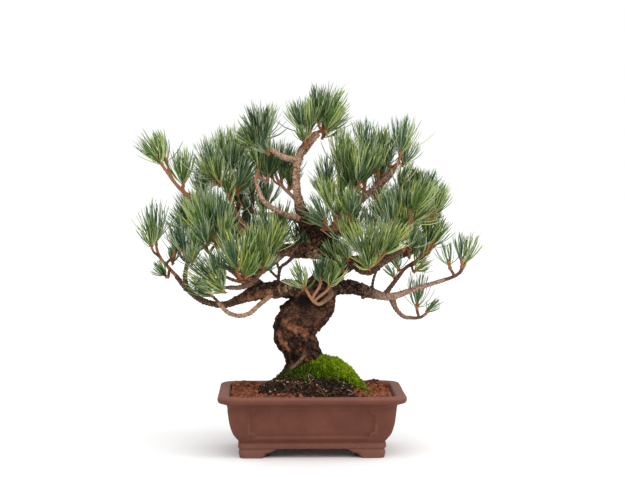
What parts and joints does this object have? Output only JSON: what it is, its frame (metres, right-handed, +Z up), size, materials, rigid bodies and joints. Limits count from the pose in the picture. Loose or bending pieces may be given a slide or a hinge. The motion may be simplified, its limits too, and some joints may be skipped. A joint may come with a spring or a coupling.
{
  "type": "potted japanese white pine bonsai",
  "caption": "Small Japanese white pine with a twisted trunk and long bare boughs that end in tufts of needles, rooted in a mossy mound in a footed oblong clay pot.",
  "frame": {"origin": "on the ground, under the middle of the whole plant's box", "axes": "+Z up from the ground to the top of the crown, +X along the pot's length to the right as seen from the front, +Y from the front to the back"},
  "size_m": [0.3846, 0.1972, 0.4076],
  "materials": {
    "pot": "matte",
    "soil": "matte",
    "moss": "matte",
    "bark": "matte",
    "bough_bark": "matte",
    "needles": "matte"
  },
  "bodies": {
    "root": {"pot": "pot", "soil": "soil", "moss": "moss", "trunk": "bark", "bough_low_left": "bough_bark", "bough_mid_left_fork": "bough_bark", "bough_mid_left_front": "bough_bark", "bough_low_left_rise": "bough_bark", "bough_low_left_back": "bough_bark", "bough_low_left_sling": "bough_bark", "bough_mid_left": "bough_bark", "bough_upper_left": "bough_bark", "bough_crown_left": "bough_bark", "bough_leader_left": "bough_bark", "bough_hook": "bough_bark", "bough_upper_right": "bough_bark", "bough_upper_right_front": "bough_bark", "bough_mid_right": "bough_bark", "bough_mid_right_back": "bough_bark", "bough_mid_right_rise": "bough_bark", "bough_low_right": "bough_bark", "bough_low_right_drop": "bough_bark", "bough_low_right_twig": "bough_bark", "bough_front_twig": "bough_bark", "bough_back_left": "bough_bark", "bough_back_middle": "bough_bark", "bough_back_high": "bough_bark", "bough_back_right": "bough_bark", "needles_far_left_high": "needles", "needles_left_crown": "needles", "needles_left_back": "needles", "needles_far_left_low": "needles", "needles_left_front": "needles", "needles_left_sling": "needles", "needles_left_middle": "needles", "needles_left_inner": "needles", "needles_upper_left_tip": "needles", "needles_hook_tip": "needles", "needles_leader_back": "needles", "needles_apex": "needles", "needles_apex_left": "needles", "needles_right_crown": "needles", "needles_right_rise": "needles", "needles_right_top": "needles", "needles_right_shoulder": "needles", "needles_right_out": "needles", "needles_trunk_front": "needles", "needles_heart_front": "needles", "needles_front_right": "needles", "needles_right_middle": "needles", "needles_far_right": "needles", "needles_right_drop": "needles", "needles_right_twig": "needles", "needles_front": "needles", "needles_back_left_tip": "needles", "needles_back_middle_tip": "needles", "needles_back_high_tip": "needles", "needles_back_right_tip": "needles", "needles_trunk_back": "needles", "needles_left_rise": "needles"}
  },
  "joints": []
}
